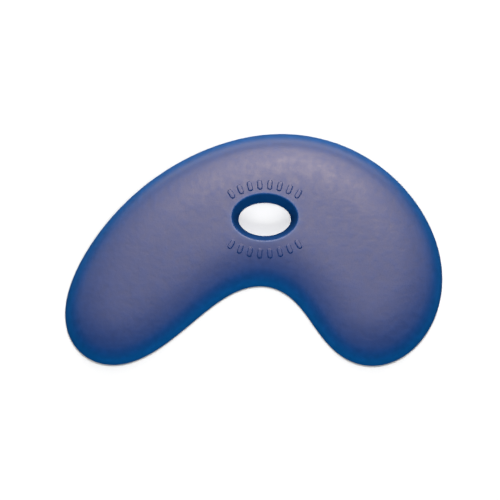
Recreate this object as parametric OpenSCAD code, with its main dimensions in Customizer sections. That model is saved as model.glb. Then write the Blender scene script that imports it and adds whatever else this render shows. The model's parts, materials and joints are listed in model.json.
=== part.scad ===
// Kidney-shaped pottery rib: one cast piece of soft polyurethane, flat on its back.
// Its face rolls down from a flat middle to a thin rim, and an oval finger hole runs through it.
// The outline is four round parts joined by four long arcs, with each join eased like a drawn curve.
// Looking down on the face: +X to the right, +Y to the crown, +Z up, back face at Z = 0.

/* [Crown] */
// Distance of the crown's centre to the right of the drawing's middle
crown_x = 11.75; // [8.75:0.25:14.75]
// Distance of the crown's centre below the drawing's middle
crown_drop = 19; // [16:0.25:22]
// Radius of the crown, the long working edge at the top right
crown_r = 73.25; // [69:0.25:79]

/* [Left lobe] */
// Distance of the left lobe's centre to the left of the drawing's middle
left_x = 63; // [59:0.25:69]
// Distance of the left lobe's centre below the drawing's middle
left_drop = 29.25; // [26:0.25:33]
// Radius of the left lobe, before its edge is eased
left_r = 23.5; // [22:0.25:26]

/* [Right lobe] */
// Distance of the right lobe's centre to the right of the drawing's middle
right_x = 51; // [49.5:0.25:54]
// Distance of the right lobe's centre below the drawing's middle
right_drop = 27.75; // [24:0.25:31.5]
// Radius of the right lobe, before its edge is eased
right_r = 25.25; // [23.5:0.25:26.75]

/* [Hollow] */
// Distance of the hollow's centre to the right of the drawing's middle
hollow_x = 2.75; // [-1:0.25:4]
// Distance of the hollow's centre below the drawing's middle
hollow_drop = 31.75; // [29:0.25:36]
// Radius of the hollow between the lobes, before its edge is eased
hollow_r = 21.25; // [19.5:0.25:22.75]

/* [Long arcs] */
// Radius of the back, from the crown down to the left lobe
back_r = 111; // [98:1:125]
// Radius of the right side, from the right lobe up to the crown
side_r = 46.25; // [42:0.25:54]
// Radius of the edge from the left lobe up to the hollow
left_heel_r = 400; // [150:10:900]
// Radius of the edge from the hollow down to the right lobe
right_heel_r = 35; // [30:1:60]
// Length of edge over which each arc flows into the next
ease = 30; // [24:1:36]

/* [Thickness and edge] */
// Thickness of the flat middle
rib_t = 8; // [6:0.25:10]
// Height of the rim, where the roll of the face starts
rim_t = 1.4; // [1.2:0.1:2.4]
// Width of the roll between the rim and the flat middle
roll_w = 18; // [12:0.5:18]
// Power of the roll: the higher it is, the more of the fall lies near the rim
roll_power = 2.5; // [2:0.1:3.5]
// Rounding of the rim on the face side
rim_r = 0.8; // [0.4:0.1:1]
// Rounding of the rim on the back
back_edge_r = 0.4; // [0.2:0.1:0.5]

/* [Finger hole] */
// Length of the hole at the face
hole_l = 28.5; // [25:0.5:32]
// Width of the hole at the face
hole_w = 20.2; // [18:0.2:23]
// Distance of the hole to the right of the rib's middle
hole_x = 4.8; // [2:0.2:8]
// Distance of the hole above the rib's middle
hole_y = 13.4; // [11:0.2:16]
// How much the hole narrows on each side, from the face to the back
hole_draft = 2.8; // [1:0.1:3.5]
// Rounding of the hole's edge at the face
hole_edge_r = 0.7; // [0.3:0.1:1]

/* [Grip bars] */
// Number of bars in each row, one row above the hole and one below
bar_count = 8; // [4:1:9]
// Length of a bar, along the spoke it lies on
bar_l = 4; // [3:0.25:4.5]
// Width of a bar
bar_w = 1.8; // [1.2:0.1:2.2]
// Height of a bar above the face
bar_h = 0.35; // [0.2:0.05:0.6]
// Radius of the arc that a row of bars follows
bar_arc_r = 28; // [24:0.5:34]
// Distance from the hole's middle up to the upper row
upper_row_gap = 14.4; // [14:0.2:16]
// Distance from the hole's middle down to the lower row
lower_row_gap = 16; // [14:0.2:17]
// Spacing of the bars along their arc
bar_pitch = 4.4; // [3.6:0.1:5]

/* [Hidden] */
$fn = 48;
edge_points = 160;
hole_points = 72;
roll_steps = 9;
rim_steps = 3;
blue = [0.07, 0.27, 0.58];
// How far the hole's cutter passes the back and the face
through = 1;
// Most of the tightest bend that the roll takes up, and of the rim that its rounding takes up
bend_share = 0.95;
rim_share = 0.9;

// An arc is [centre x, centre y, radius], and its radius is negative where the edge is hollow
crown = [crown_x, -crown_drop, crown_r];
left_lobe = [-left_x, -left_drop, left_r];
hollow = [hollow_x, -hollow_drop, -hollow_r];
right_lobe = [right_x, -right_drop, right_r];
arcs = [
    crown,
    between(crown, left_lobe, back_r, 1),
    left_lobe,
    between(left_lobe, hollow, left_heel_r, 1),
    hollow,
    between(hollow, right_lobe, right_heel_r, 1),
    right_lobe,
    between(right_lobe, crown, side_r, -1)
];

// The arc of radius r that runs smoothly from arc a into arc b
function between(a, b, r, side) =
    let (
        step = [b.x - a.x, b.y - a.y],
        gap = norm(step),
        u = step / gap,
        to_a = r - a.z,
        to_b = r - b.z,
        along = (to_a * to_a - to_b * to_b + gap * gap) / (2 * gap),
        across = side * sqrt(max(0, to_a * to_a - along * along))
    )
    [a.x + u.x * along - u.y * across, a.y + u.y * along + u.x * across, r];

// Where arc a hands over to arc b
function handover(a, b) =
    let (u = [a.x - b.x, a.y - b.y] / (a.z - b.z)) [a.x - a.z * u.x, a.y - a.z * u.y];

function wrapped(angle) = angle - 360 * round(angle / 360);
function total(list, end) = end < 0 ? 0 : list[end] + total(list, end - 1);

// Start angle and turn of arc i
function sweep(i) =
    let (
        n = len(arcs),
        arc = arcs[i],
        start = handover(arcs[(i + n - 1) % n], arc),
        stop = handover(arc, arcs[(i + 1) % n]),
        first = atan2(start.y - arc.y, start.x - arc.x),
        last = atan2(stop.y - arc.y, stop.x - arc.x)
    )
    [first, wrapped(last - first)];

sweeps = [for (i = [0:len(arcs) - 1]) sweep(i)];
lengths = [for (i = [0:len(arcs) - 1]) abs(arcs[i].z * sweeps[i][1]) * PI / 180];
starts = [for (i = [0:len(arcs) - 1]) total(lengths, i - 1)];
perimeter = total(lengths, len(arcs) - 1);

// The point at distance s along the arcs
function drawn(s) =
    let (
        i = max([for (k = [0:len(arcs) - 1]) if (starts[k] <= s) k]),
        angle = sweeps[i][0] + sweeps[i][1] * (s - starts[i]) / lengths[i],
        r = abs(arcs[i].z)
    )
    [arcs[i].x + r * cos(angle), arcs[i].y + r * sin(angle)];

// Each point moves to the mean of its neighbours, with the nearest counting most
function eased(points, reach) =
    let (n = len(points), weights = [for (j = [-reach:reach]) 1 - abs(j) / (reach + 1)])
    [for (i = [0:n - 1])
        weights * [for (j = [-reach:reach]) points[(i + j + n) % n]] / (reach + 1)];

edge_step = perimeter / edge_points;
raw_edge = [for (k = [0:edge_points - 1]) drawn(k * edge_step)];
soft_edge = eased(raw_edge, round(ease / edge_step));

// The edge is centred on the origin, and its points run anticlockwise from the tip of the left lobe
middle = [for (k = [0:1]) (max([for (p = soft_edge) p[k]]) + min([for (p = soft_edge) p[k]])) / 2];
left_tip = furthest(soft_edge, [-1, -1]);
edge = [for (k = [0:edge_points - 1]) soft_edge[(left_tip + k) % edge_points] - middle];
right_tip = furthest(edge, [1, -1]);
function furthest(points, way) =
    let (reach = [for (p = points) p * way]) search(max(reach), reach)[0];

// Unit vectors from the edge into the rib
inward = [for (k = [0:edge_points - 1])
    let (along = edge[(k + 1) % edge_points] - edge[(k + edge_points - 1) % edge_points])
    [-along.y, along.x] / norm(along)];

// The roll is never wider than the tightest bend of the edge allows
bends = [for (k = [0:edge_points - 1])
    let (
        turn = inward[(k + 1) % edge_points] - inward[k],
        step = edge[(k + 1) % edge_points] - edge[k]
    )
    -turn * step / (step * step)];
roll = min(roll_w, bend_share / max(bends));

// Section of the edge, as [distance in from the edge, height], from the back up to the flat middle
rise = rib_t - rim_t;
rim_slope = atan(roll_power * rise / roll);
rim_turn = 90 - rim_slope;
rim_round = min(rim_r, rim_share * (rim_t - back_edge_r));
rim_in = rim_round * (1 - cos(rim_turn));
section = concat(
    [for (k = [0:rim_steps])
        let (a = 90 * k / rim_steps) back_edge_r * [1 - sin(a), 1 - cos(a)]],
    [for (k = [0:rim_steps])
        let (a = rim_turn * k / rim_steps)
        [rim_round * (1 - cos(a)), rim_t + rim_round * (sin(a) - sin(rim_turn))]],
    [for (k = [1:roll_steps])
        let (t = k / roll_steps)
        [rim_in + t * (roll - rim_in), rim_t + rise * (1 - pow(1 - t, roll_power))]]
);

// Section of the hole's wall, as [distance out from the hole at the back, height], from below up
wall_tilt = atan(hole_draft / rib_t);
edge_turn = 90 - wall_tilt;
hole_section = concat(
    [[-through * tan(wall_tilt), -through]],
    [for (k = [0:rim_steps])
        let (a = edge_turn * k / rim_steps)
        [
            hole_draft + hole_edge_r * (cos(wall_tilt) - cos(wall_tilt + a)),
            rib_t - hole_edge_r * (1 - sin(wall_tilt + a))
        ]],
    [[hole_draft + hole_edge_r, rib_t + through]]
);

// Faces that close a ring of n points, in strips from one tip, point 0, to the other
function strips(n, far_tip) =
    let (near_side = far_tip, far_side = n - far_tip - 2, count = min(near_side, far_side))
    [for (k = [0:count - 1])
        let (
            a = round(k * near_side / count),
            b = round((k + 1) * near_side / count),
            c = n - 1 - round((k + 1) * far_side / count),
            d = n - 1 - round(k * far_side / count)
        )
        concat([for (i = [a:b]) i], [for (i = [c:d]) i])];

// A closed solid through rings of points, one above the other, with flat ends
module loft(rings, far_tip) {
    n = len(rings[0]);
    last = len(rings) - 1;
    walls = [for (k = [0:last - 1], i = [0:n - 1])
        [k * n + i, (k + 1) * n + i, (k + 1) * n + (i + 1) % n, k * n + (i + 1) % n]];
    under = strips(n, far_tip);
    over = [for (face = under) [for (i = [len(face) - 1:-1:0]) face[i] + last * n]];
    polyhedron([for (ring = rings) each ring], concat(walls, under, over), convexity = 6);
}

module blank() {
    loft([for (s = section)
        [for (k = [0:edge_points - 1]) [each edge[k] + inward[k] * s.x, s.y]]], right_tip);
}

module finger_hole() {
    back_l = hole_l / 2 - hole_draft;
    back_w = hole_w / 2 - hole_draft;
    translate([hole_x, hole_y, 0])
        loft([for (s = hole_section)
            [for (k = [0:hole_points - 1])
                let (a = 180 + 360 * k / hole_points)
                [(back_l + s.x) * cos(a), (back_w + s.x) * sin(a), s.y]]], hole_points / 2);
}

// A row of bars on the spokes of an arc: row is 1 for the upper row and -1 for the lower one
module bar_row(row, gap) {
    half_turn = (bar_count - 1) * bar_pitch / bar_arc_r * 90 / PI;
    translate([hole_x, hole_y + row * (gap - bar_arc_r)])
        for (k = [0:bar_count - 1])
            rotate(row * 90 + half_turn * (2 * k / (bar_count - 1) - 1))
                translate([bar_arc_r, 0])
                    bar();
}

module bar() {
    straight = bar_l - bar_w;
    square([straight, bar_w], center = true);
    for (end = [-1, 1])
        translate([end * straight / 2, 0])
            circle(d = bar_w);
}

// The bars follow the face, a little above it
module grip_bars() {
    intersection() {
        translate([0, 0, bar_h])
            blank();
        translate([0, 0, rib_t / 2])
            linear_extrude(rib_t) {
                bar_row(1, upper_row_gap);
                bar_row(-1, lower_row_gap);
            }
    }
}

module rib() {
    color(blue) {
        difference() {
            blank();
            finger_hole();
        }
        grip_bars();
    }
}

rib();
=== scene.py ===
import json
import math

import bmesh
import bpy
from mathutils import Matrix, Vector
from mathutils.bvhtree import BVHTree


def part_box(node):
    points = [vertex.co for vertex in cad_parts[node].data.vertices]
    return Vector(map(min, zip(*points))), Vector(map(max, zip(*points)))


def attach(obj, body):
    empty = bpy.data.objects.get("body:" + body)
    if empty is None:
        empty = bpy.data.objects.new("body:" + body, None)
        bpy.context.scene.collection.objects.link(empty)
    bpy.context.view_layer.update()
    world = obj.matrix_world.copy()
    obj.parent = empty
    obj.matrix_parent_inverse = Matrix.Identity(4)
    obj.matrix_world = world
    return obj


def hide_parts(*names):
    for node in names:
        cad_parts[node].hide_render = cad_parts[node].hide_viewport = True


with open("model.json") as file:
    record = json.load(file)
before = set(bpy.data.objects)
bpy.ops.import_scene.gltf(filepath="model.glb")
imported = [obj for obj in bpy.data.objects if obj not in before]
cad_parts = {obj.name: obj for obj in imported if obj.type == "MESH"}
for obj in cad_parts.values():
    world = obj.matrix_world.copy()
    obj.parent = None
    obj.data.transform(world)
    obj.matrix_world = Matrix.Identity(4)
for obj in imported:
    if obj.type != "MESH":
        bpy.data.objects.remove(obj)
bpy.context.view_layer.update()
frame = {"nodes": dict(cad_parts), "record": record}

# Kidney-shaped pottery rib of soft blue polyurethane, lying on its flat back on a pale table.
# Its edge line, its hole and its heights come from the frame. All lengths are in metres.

low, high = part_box("rib")

MM = 0.001
UP = Vector((0, 0, 1))
# Points nearer to each other than this are one point
TOUCH = 0.01 * MM

# Section of the edge: a thin rounded rim, a narrow lip, and a crown that runs on into the face
RIM_HEIGHT = 1.4 * MM
RIM_ROUND = 0.8 * MM
BACK_ROUND = 0.4 * MM
LIP_WIDTH = 8 * MM
LIP_RISE = 3.2 * MM
CROWN_WIDTH = 28 * MM
ROLL_POWER = 3
# Rings follow the edge this far in, and inside them the face is cut into squares
RING_REACH = 11 * MM
RING_STEPS = 26
ROUND_STEPS = 5
SQUARE = 2.5 * MM
# New points between two points of the CAD edge line, and passes that smooth them
EDGE_CUTS = 3
EDGE_PASSES = 6

# Finger hole
HOLE_EDGE_ROUND = 0.7 * MM
HOLE_SEGMENTS = 192
# Rings of the face round the hole, at these distances from its edge in millimetres
HOLE_RINGS = [0.3, 0.7, 1.2]

# Grip bars on the face, in one row above the hole and one below
BAR_COUNT = 8
BAR_LENGTH = 4 * MM
BAR_WIDTH = 1.8 * MM
BAR_HEIGHT = 0.35 * MM
BAR_ARC = 28 * MM
BAR_PITCH = 4.4 * MM
UPPER_ROW_GAP = 14.4 * MM
LOWER_ROW_GAP = 16 * MM
BAR_SEGMENTS = 40
# A ring of the face lies this far round each bar, and the bar rises from it in steps in and up, in mm
BAR_APRON = 0.35 * MM
BAR_STEPS = [(0.27, 0), (0.04, 0.06), (0.04, 0.13), (0.05, 0.08), (0.08, 0.05), (0.12, 0.01)]

FACE = high.z - BAR_HEIGHT

# Polyurethane: its colours, how far in from its edges it is clearer and shows painted glow of light shining
# through its thin rim, and its matte skin
DEEP_BLUE = (0.0016, 0.0205, 0.0960, 1)
# Lighter blue of the thin rim: partly the casting's own clearness, partly painted glow of light shining
# through the thin edge
CLEAR_GLOW_BLUE = (0.0008, 0.0560, 0.1920, 1)
CLEAR_GLOW_EDGE = 1.6 * MM
CLEAR_GLOW_FADE = 2.4 * MM
# Painted light at the finger hole: its wall and a thin ring round its edge are painted this share of the
# lighter blue
HOLE_GLOW = 0.5
HOLE_GLOW_FADE = 0.5 * MM
SKIN_IOR = 1.58
SKIN_ROUGHNESS = 0.46
SKIN_TINT = (0.98, 0.79, 0.69, 1)
CLOUD_SCALE = 180
CLOUD_HEIGHT = 0.055 * MM
GRAIN_SCALE = 450
GRAIN_HEIGHT = 0.035 * MM
COLOUR_DRIFT = 0.2
COLOUR_GRAIN = 0.4
ROUGHNESS_DRIFT = 0.06
ROUGHNESS_GRAIN = 0.12
# Faces that meet at more than this many degrees keep a sharp edge
SHARP_ANGLE = 40

# Numbers of a colour Mix node's sockets, which share their names with its other kinds
MIX_FIRST = 6
MIX_SECOND = 7
MIX_RESULT = 2

# Table and lights
TABLE_COLOUR = (0.62, 0.62, 0.62, 1)
TABLE_ROUGHNESS = 0.9
TABLE_REACH = 4
# Each light's place, tilt towards the front in degrees, width, height, power and whether gloss shows it
LIGHTS = {
    "key_light": ((0.035, 0.24, 0.6), 0, 0.15, 0.15, 4, True),
    "top_light": ((0.15, 0.6, 0.6), 0, 1.8, 0.9, 8, True),
    "back_light": ((0, 1.1, 0.33), 73, 1.8, 0.55, 14.4, True),
    "fill_light": ((0, -1.2, 0.9), -53, 0.5, 0.5, 20, False),
}

# View: its tilt in degrees, and the place at the picture's middle with the width seen there
VIEW_TILT = 6.4
VIEW_DISTANCE = 1.2
VIEW_WIDTH = 0.21955
VIEW_AIM = Vector((-1.69, -0.26, 1)) * MM


# Reading the frame

def cad_copy():
    """A copy of the CAD rib with its loose triangles merged."""
    bm = bmesh.new()
    bm.from_mesh(frame["nodes"]["rib"].data)
    bmesh.ops.remove_doubles(bm, verts=bm.verts[:], dist=TOUCH)
    return bm


def hole_centre():
    """The middle of the finger hole, from the record's opening of that name."""
    openings = frame["record"]["physics"]["openings"]
    corners = next(o["box_m"] for o in openings if o["name"] == "finger_hole")
    return (Vector(corners[0]) + Vector(corners[1])) / 2


def hole_reach(bm, middle, height, axis):
    """Distance along an axis from the hole's middle to its edge at a height."""
    across = 1 - axis
    line = [v.co for v in bm.verts
            if abs(v.co.z - height) < TOUCH and abs(v.co[across] - middle[across]) < TOUCH]
    return min(abs(point[axis] - middle[axis]) for point in line)


# The finger hole's middle, and its reach along X and Y at the back and at the face
centre = hole_centre()
cad = cad_copy()
hole_back, hole_face = [[hole_reach(cad, centre, height, axis) for axis in (0, 1)]
                        for height in (low.z, FACE)]
cad.free()


# The rib's body

crown_rise = FACE - RIM_HEIGHT - LIP_RISE
rim_slope = ROLL_POWER * (LIP_RISE / LIP_WIDTH + crown_rise / CROWN_WIDTH)
rim_turn = math.pi / 2 - math.atan(rim_slope)
rim_inset = RIM_ROUND * (1 - math.cos(rim_turn))


def rise(inset, width):
    """Share of its height that a roll of this width has reached at a distance in from the edge."""
    left = 1 - (inset - rim_inset) / (width - rim_inset)
    return 1 - min(1, max(0, left)) ** ROLL_POWER


def face_height(inset):
    """Height of the face at a distance in from the edge."""
    return RIM_HEIGHT + LIP_RISE * rise(inset, LIP_WIDTH) + crown_rise * rise(inset, CROWN_WIDTH)


def upper_section():
    """Distances in and heights from the widest ring to the last ring on the face."""
    angles = [rim_turn * step / ROUND_STEPS for step in range(1, ROUND_STEPS + 1)]
    rim = [(RIM_ROUND * (1 - math.cos(a)), RIM_HEIGHT + RIM_ROUND * (math.sin(a) - math.sin(rim_turn)))
           for a in angles]
    roll = [rim_inset + (RING_REACH - rim_inset) * step / RING_STEPS for step in range(1, RING_STEPS + 1)]
    return rim + [(inset, face_height(inset)) for inset in roll]


def lower_section():
    """Distances in and heights from the widest ring down to the back."""
    angles = [math.pi / 2 * step / ROUND_STEPS for step in range(1, ROUND_STEPS + 1)]
    return [(BACK_ROUND * (1 - math.cos(a)), BACK_ROUND * (1 - math.sin(a))) for a in angles]


def leave_edge_line(bm):
    """Leaves only the widest ring of the copied rib, made fine and smooth."""
    height = min(v.co.z for v in bm.verts if v.co.x > high.x - TOUCH)
    others = [v for v in bm.verts if abs(v.co.z - height) > TOUCH]
    bmesh.ops.delete(bm, geom=others, context="VERTS")
    bmesh.ops.subdivide_edges(bm, edges=bm.edges[:], cuts=EDGE_CUTS)
    for _ in range(EDGE_PASSES):
        bmesh.ops.smooth_vert(bm, verts=bm.verts[:], factor=0.5, use_axis_x=True, use_axis_y=True)


def number_ring(bm, corner):
    """Numbers the points of the ring, and returns them with the directions from them into the rib."""
    face = bmesh.ops.contextual_create(bm, geom=bm.edges[:])["faces"][0]
    face.normal_update()
    if face.normal.z < 0:
        face.normal_flip()
    points, inward = [], []
    for number, loop in enumerate(face.loops):
        loop.vert[corner] = number
        along = loop.link_loop_next.vert.co - loop.link_loop_prev.vert.co
        points.append(loop.vert.co.copy())
        inward.append(UP.cross(along).normalized())
    bmesh.ops.delete(bm, geom=[face], context="FACES_ONLY")
    return points, inward


def once_each(items):
    """The items in their order, each of them once."""
    return list(dict.fromkeys(items))


def raise_ring(bm, ring, corner, place):
    """Extrudes a ring of edges, and puts each new point where place says for its corner."""
    made = bmesh.ops.extrude_edge_only(bm, edges=ring)["geom"]
    for item in made:
        if isinstance(item, bmesh.types.BMVert):
            item.co = place(item[corner])
    return [item for item in made if isinstance(item, bmesh.types.BMEdge)]


def edge_rings(bm, corner):
    """Makes the rib's rolled edge: its last rings on the face and at the back, and the edge line."""
    points, inward = number_ring(bm, corner)

    def place_at(inset, height):
        def place(k):
            flat = points[k] + inward[k] * inset
            return Vector((flat.x, flat.y, height))
        return place

    widest = bm.edges[:]
    ends = []
    for section in (upper_section(), lower_section()):
        ring = widest
        for inset, height in section:
            ring = raise_ring(bm, ring, corner, place_at(inset, height))
        ends.append(ring)
    return ends, points


def edge_wall(edge_line):
    """An upright wall on the edge line, to measure how far a point is from the edge."""
    bm = bmesh.new()
    verts = [bm.verts.new(point) for point in edge_line]
    for vert, after in zip(verts, verts[1:] + verts[:1]):
        bm.edges.new((vert, after))
    lower = bmesh.ops.extrude_edge_only(bm, edges=bm.edges[:])["geom"]
    bmesh.ops.translate(bm, vec=UP, verts=[v for v in lower if isinstance(v, bmesh.types.BMVert)])
    bmesh.ops.translate(bm, vec=-UP / 2, verts=bm.verts[:])
    tree = BVHTree.FromBMesh(bm)
    bm.free()
    return tree


def inset_of(wall, point):
    """Distance of a point from the edge, seen from above."""
    return wall.find_nearest(point)[3]


def hole_rings(bm, corner, wall):
    """Makes the hole's drafted wall, and returns its rings at the face and at the back."""
    draft = hole_face[0] - hole_back[0] - HOLE_EDGE_ROUND
    tilt = math.atan(draft / FACE)
    turn = math.pi / 2 - tilt
    # Each ring's distance out from the hole at the back, and its depth under the face
    section = []
    for step in range(ROUND_STEPS + 1):
        a = turn * step / ROUND_STEPS
        section.append((draft + HOLE_EDGE_ROUND * (math.cos(tilt) - math.cos(tilt + a)),
                        HOLE_EDGE_ROUND * (1 - math.sin(tilt + a))))
    section += [(hole_face[0] - hole_back[0] + ring * MM, 0) for ring in HOLE_RINGS]
    circle = bmesh.ops.create_circle(bm, cap_ends=False, segments=HOLE_SEGMENTS, radius=1)["verts"]
    units = [v.co.copy() for v in circle]

    def place_at(out, depth):
        def place(k):
            spot = Vector((centre.x + units[k].x * (hole_back[0] + out),
                           centre.y + units[k].y * (hole_back[1] + out), 0))
            spot.z = face_height(inset_of(wall, spot)) - depth
            return spot
        return place

    for number, vert in enumerate(circle):
        vert[corner] = number
        vert.co = place_at(0, 0)(number)
        vert.co.z = low.z
    bottom = once_each(edge for vert in circle for edge in vert.link_edges)
    ring = bottom
    for out, depth in section:
        ring = raise_ring(bm, ring, corner, place_at(out, depth))
    return ring, bottom


def grip_bar(bm, corner, wall, spot, angle):
    """Makes one bar with a soft top edge, and returns the ring that lies in the face round its foot."""
    circle = bmesh.ops.create_circle(bm, cap_ends=False, segments=BAR_SEGMENTS, radius=1)["verts"]
    units = [v.co.copy() for v in circle]
    turn = Matrix.Rotation(angle, 3, "Z")
    half = (BAR_LENGTH - BAR_WIDTH) / 2

    def place_at(reach, height):
        def place(k):
            flat = units[k] * reach
            if abs(flat.x) > TOUCH:
                flat.x += math.copysign(half, flat.x)
            point = spot + turn @ flat
            point.z = face_height(inset_of(wall, point)) + height
            return point
        return place

    reach, height = BAR_WIDTH / 2 + BAR_APRON, 0
    for number, vert in enumerate(circle):
        vert[corner] = number
        vert.co = place_at(reach, height)(number)
    foot = once_each(edge for vert in circle for edge in vert.link_edges)
    ring = foot
    for inset, lift in BAR_STEPS:
        reach -= inset * MM
        height += lift * MM
        ring = raise_ring(bm, ring, corner, place_at(reach, height))
    bmesh.ops.triangle_fill(bm, edges=ring, use_beauty=True, normal=UP)
    return foot


def bar_places():
    """The middle and the turn of each bar of both rows, on the spokes of its row's arc."""
    for side, gap in ((1, UPPER_ROW_GAP), (-1, LOWER_ROW_GAP)):
        hub = Vector((centre.x, centre.y + side * (gap - BAR_ARC), 0))
        for number in range(BAR_COUNT):
            angle = (number - (BAR_COUNT - 1) / 2) * BAR_PITCH / BAR_ARC + side * math.pi / 2
            yield hub + Vector((math.cos(angle), math.sin(angle), 0)) * BAR_ARC, angle


def crown_face(bm, faces, wall):
    """Cuts the flat fill of the face along a square grid, and lifts its points to the crown."""
    geom = once_each(item for face in faces for item in (face, *face.edges, *face.verts))
    for axis in (Vector((1, 0, 0)), Vector((0, 1, 0))):
        start, end = low.dot(axis), high.dot(axis)
        for number in range(1, int((end - start) / SQUARE)):
            cut = bmesh.ops.bisect_plane(bm, geom=geom, dist=TOUCH, plane_no=axis,
                                         plane_co=axis * (start + number * SQUARE))
            geom = once_each(cut["geom"])
    for item in geom:
        if isinstance(item, bmesh.types.BMVert):
            item.co.z = face_height(inset_of(wall, item.co))


def rib_body():
    """The rib with its finger hole and its bars, as one closed mesh, and its edge as an upright wall."""
    bm = cad_copy()
    leave_edge_line(bm)
    corner = bm.verts.layers.int.new("corner")
    (face, back), edge_line = edge_rings(bm, corner)
    wall = edge_wall(edge_line)
    face_hole, back_hole = hole_rings(bm, corner, wall)
    feet = [edge for spot, angle in bar_places() for edge in grip_bar(bm, corner, wall, spot, angle)]
    fill = bmesh.ops.triangle_fill(bm, edges=face + face_hole + feet, use_beauty=True, normal=UP)["geom"]
    bmesh.ops.triangle_fill(bm, edges=back + back_hole, use_beauty=True, normal=-UP)
    crown_face(bm, [item for item in fill if isinstance(item, bmesh.types.BMFace)], wall)
    bmesh.ops.recalc_face_normals(bm, faces=bm.faces[:])
    bm.verts.layers.int.remove(corner)
    return bm, wall


# Finished pieces

def new_object(bm, name):
    mesh = bpy.data.meshes.new(name)
    bm.to_mesh(mesh)
    bm.free()
    piece = bpy.data.objects.new(name, mesh)
    bpy.context.scene.collection.objects.link(piece)
    return piece


def write_clear_glow(mesh, wall):
    """Stores how clear the casting looks and where glow is painted: 1 along its thin rim, where painted
    light shines through, less at the hole, whose wall is painted lighter, 0 in the thick middle.
    """
    clear_glow = mesh.attributes.new("clear_glow", "FLOAT", "POINT")
    for vert, value in zip(mesh.vertices, clear_glow.data):
        past_rim = max(0, inset_of(wall, vert.co) - CLEAR_GLOW_EDGE)
        out = vert.co - centre
        # Painted light at the hole: its wall and a thin ring round its edge get part of the lighter blue
        past_hole = max(0, math.hypot(out.x / hole_face[0], out.y / hole_face[1]) - 1) * hole_face[1]
        value.value = math.exp(-past_rim / CLEAR_GLOW_FADE) + HOLE_GLOW * math.exp(-past_hole / HOLE_GLOW_FADE)


def smooth(mesh, angle):
    mesh.shade_smooth()
    mesh.set_sharp_from_angle(angle=math.radians(angle))


# Shaders

class Value:
    """A shader socket: a sum or product with it adds a Math node."""

    def __init__(self, material, socket):
        self.material = material
        self.socket = socket

    def math(self, operation, first, second):
        return self.material.node("ShaderNodeMath", {"operation": operation}, {0: first, 1: second})

    def __add__(self, other):
        return self.math("ADD", self, other)

    def __sub__(self, other):
        return self.math("SUBTRACT", self, other)

    def __rsub__(self, other):
        return self.math("SUBTRACT", other, self)

    def __mul__(self, other):
        return self.math("MULTIPLY", self, other)

    __radd__ = __add__
    __rmul__ = __mul__


class Material:
    """A material, whose nodes all come from one method."""

    def __init__(self, name):
        self.data = bpy.data.materials.new(name)
        self.data.use_nodes = True
        self.tree = self.data.node_tree
        self.tree.nodes.clear()

    def node(self, kind, settings, inputs, output=0):
        """Adds a node: its settings come first, then the values or links of its sockets."""
        made = self.tree.nodes.new(kind)
        for name, setting in settings.items():
            setattr(made, name, setting)
        for key, value in inputs.items():
            if isinstance(value, Value):
                self.tree.links.new(value.socket, made.inputs[key])
            else:
                made.inputs[key].default_value = value
        return Value(self, made.outputs[output]) if made.outputs else None


def polyurethane():
    """Soft cast polyurethane: deep royal blue, clearer where it is thin with painted glow of light shining
    through, painted lighter round the hole, with a matte skin.
    """
    skin = Material("polyurethane")
    place = skin.node("ShaderNodeTexCoord", {}, {}, "Object")
    clear_glow = skin.node("ShaderNodeAttribute", {"attribute_name": "clear_glow"}, {}, "Fac")
    cloud = skin.node("ShaderNodeTexNoise", {}, {"Vector": place, "Scale": CLOUD_SCALE, "Detail": 3})
    grain = skin.node("ShaderNodeTexNoise", {}, {"Vector": place, "Scale": GRAIN_SCALE, "Detail": 2})
    # Painted light: the colour turns to the lighter blue along the thin rim, partly real clearness and
    # partly painted glow of light shining through, and at the hole's wall, where it is painted light only
    colour = skin.node("ShaderNodeMix", {"data_type": "RGBA"},
                       {"Factor": clear_glow, MIX_FIRST: DEEP_BLUE, MIX_SECOND: CLEAR_GLOW_BLUE}, MIX_RESULT)
    drift = 1 + (cloud - 0.5) * COLOUR_DRIFT + (grain - 0.5) * COLOUR_GRAIN
    colour = skin.node("ShaderNodeVectorMath", {"operation": "SCALE"}, {"Vector": colour, "Scale": drift})
    roughness = SKIN_ROUGHNESS + (cloud - 0.5) * ROUGHNESS_DRIFT + (grain - 0.5) * ROUGHNESS_GRAIN
    relief = cloud * CLOUD_HEIGHT + grain * GRAIN_HEIGHT
    bump = skin.node("ShaderNodeBump", {}, {"Height": relief, "Strength": 1, "Distance": 1})
    surface = skin.node("ShaderNodeBsdfPrincipled", {}, {
        "Base Color": colour,
        "Roughness": roughness,
        "Normal": bump,
        "IOR": SKIN_IOR,
        "Specular Tint": SKIN_TINT,
    })
    skin.node("ShaderNodeOutputMaterial", {}, {"Surface": surface})
    return skin.data


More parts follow.
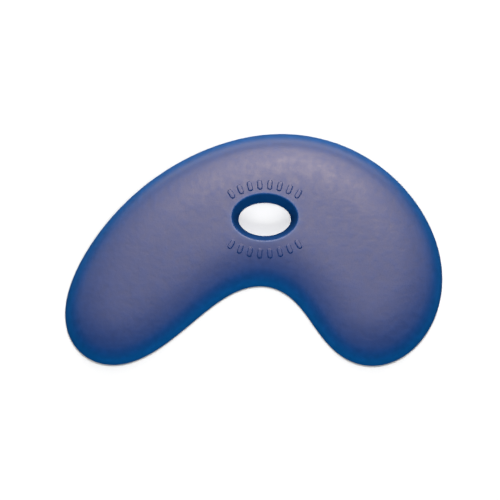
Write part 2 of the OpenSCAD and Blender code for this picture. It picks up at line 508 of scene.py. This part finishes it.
def table_top():
    """A plain pale table."""
    top = Material("table_top")
    surface = top.node("ShaderNodeBsdfPrincipled", {}, {
        "Base Color": TABLE_COLOUR,
        "Roughness": TABLE_ROUGHNESS,
        "Specular IOR Level": 0,
    })
    top.node("ShaderNodeOutputMaterial", {}, {"Surface": surface})
    return top.data


# Table, lights and camera

def table():
    bm = bmesh.new()
    bmesh.ops.create_grid(bm, x_segments=1, y_segments=1, size=TABLE_REACH)
    bmesh.ops.translate(bm, vec=(0, 0, low.z - TOUCH), verts=bm.verts[:])
    top = new_object(bm, "table")
    top.data.materials.append(table_top())
    top.visible_glossy = False
    top.visible_diffuse = False


def softbox(name, place, tilt, width, height, power, in_gloss):
    """A rectangular soft light that faces down, tilted towards the front."""
    light = bpy.data.lights.new(name, "AREA")
    light.shape = "RECTANGLE"
    light.size = width
    light.size_y = height
    light.energy = power
    lamp = bpy.data.objects.new(name, light)
    lamp.location = place
    lamp.rotation_euler = (-math.radians(tilt), 0, 0)
    lamp.visible_camera = False
    lamp.visible_glossy = in_gloss
    bpy.context.scene.collection.objects.link(lamp)


def room():
    """The white room behind the table, which only the camera sees."""
    world = bpy.data.worlds.new("room")
    world.use_nodes = True
    walls = world.node_tree.nodes["Background"]
    walls.inputs["Color"].default_value = (1, 1, 1, 1)
    world.cycles_visibility.diffuse = False
    world.cycles_visibility.glossy = False
    bpy.context.scene.world = world


def camera():
    """The photograph's view: from above and a little to the front, with the long edge away."""
    lens = bpy.data.cameras.new("camera")
    lens.sensor_width = 36
    lens.lens = lens.sensor_width * VIEW_DISTANCE / VIEW_WIDTH
    eye = bpy.data.objects.new("camera", lens)
    tilt = math.radians(VIEW_TILT)
    away = Vector((0, -math.sin(tilt), math.cos(tilt)))
    eye.location = VIEW_AIM + away * VIEW_DISTANCE
    eye.rotation_euler = (tilt, 0, 0)
    bpy.context.scene.collection.objects.link(eye)
    bpy.context.scene.camera = eye


body, wall = rib_body()
rib = new_object(body, "rib_body")
smooth(rib.data, SHARP_ANGLE)
write_clear_glow(rib.data, wall)
rib.data.materials.clear()
rib.data.materials.append(polyurethane())
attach(rib, "root")
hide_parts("rib")

table()
room()
for name, settings in LIGHTS.items():
    softbox(name, *settings)
camera()
bpy.context.scene.view_settings.view_transform = "Standard"
